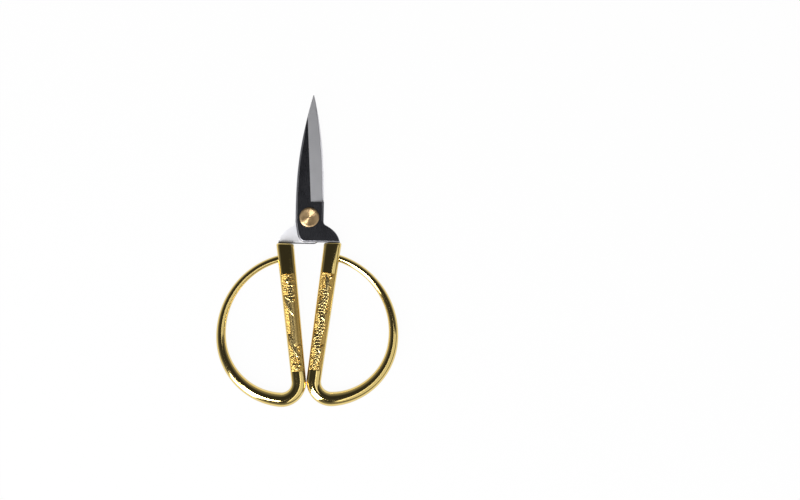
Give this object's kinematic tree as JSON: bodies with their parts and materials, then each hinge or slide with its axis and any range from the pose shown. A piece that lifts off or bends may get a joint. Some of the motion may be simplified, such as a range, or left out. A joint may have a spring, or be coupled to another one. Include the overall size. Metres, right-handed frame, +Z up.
{
  "type": "scissors",
  "caption": "Bow-handled needlework scissors: pointed, flat-ground steel blades on a turned rivet, each in a gold-plated cast handle whose straight leg curls into a tapering finger bow.",
  "frame": {"origin": "under the middle of the closed scissors, on the surface that they lie on", "axes": "+Y from the finger bows to the blade tips, +Z up from the surface towards the rivet's head, +X to the right handle"},
  "size_m": [0.0764, 0.1306, 0.007],
  "materials": {
    "gold_plate": "bright gold plating on a polished zinc casting",
    "blade_steel": "dark polished face, satin flat grind, bright inner face",
    "rivet_brass": "turned brass, fine concentric marks"
  },
  "bodies": {
    "right_half": {"right_handle": "gold_plate", "front_blade": "blade_steel", "pivot_rivet": "rivet_brass", "rear_washer": "rivet_brass"},
    "left_half": {"left_handle": "gold_plate", "back_blade": "blade_steel"}
  },
  "joints": [
    {"name": "pivot", "type": "hinge", "parent": "right_half", "child": "left_half", "pos_m": [0, 0.01426, 0.0033], "axis": [0, 0, -1], "range_deg": [0, 105]}
  ]
}
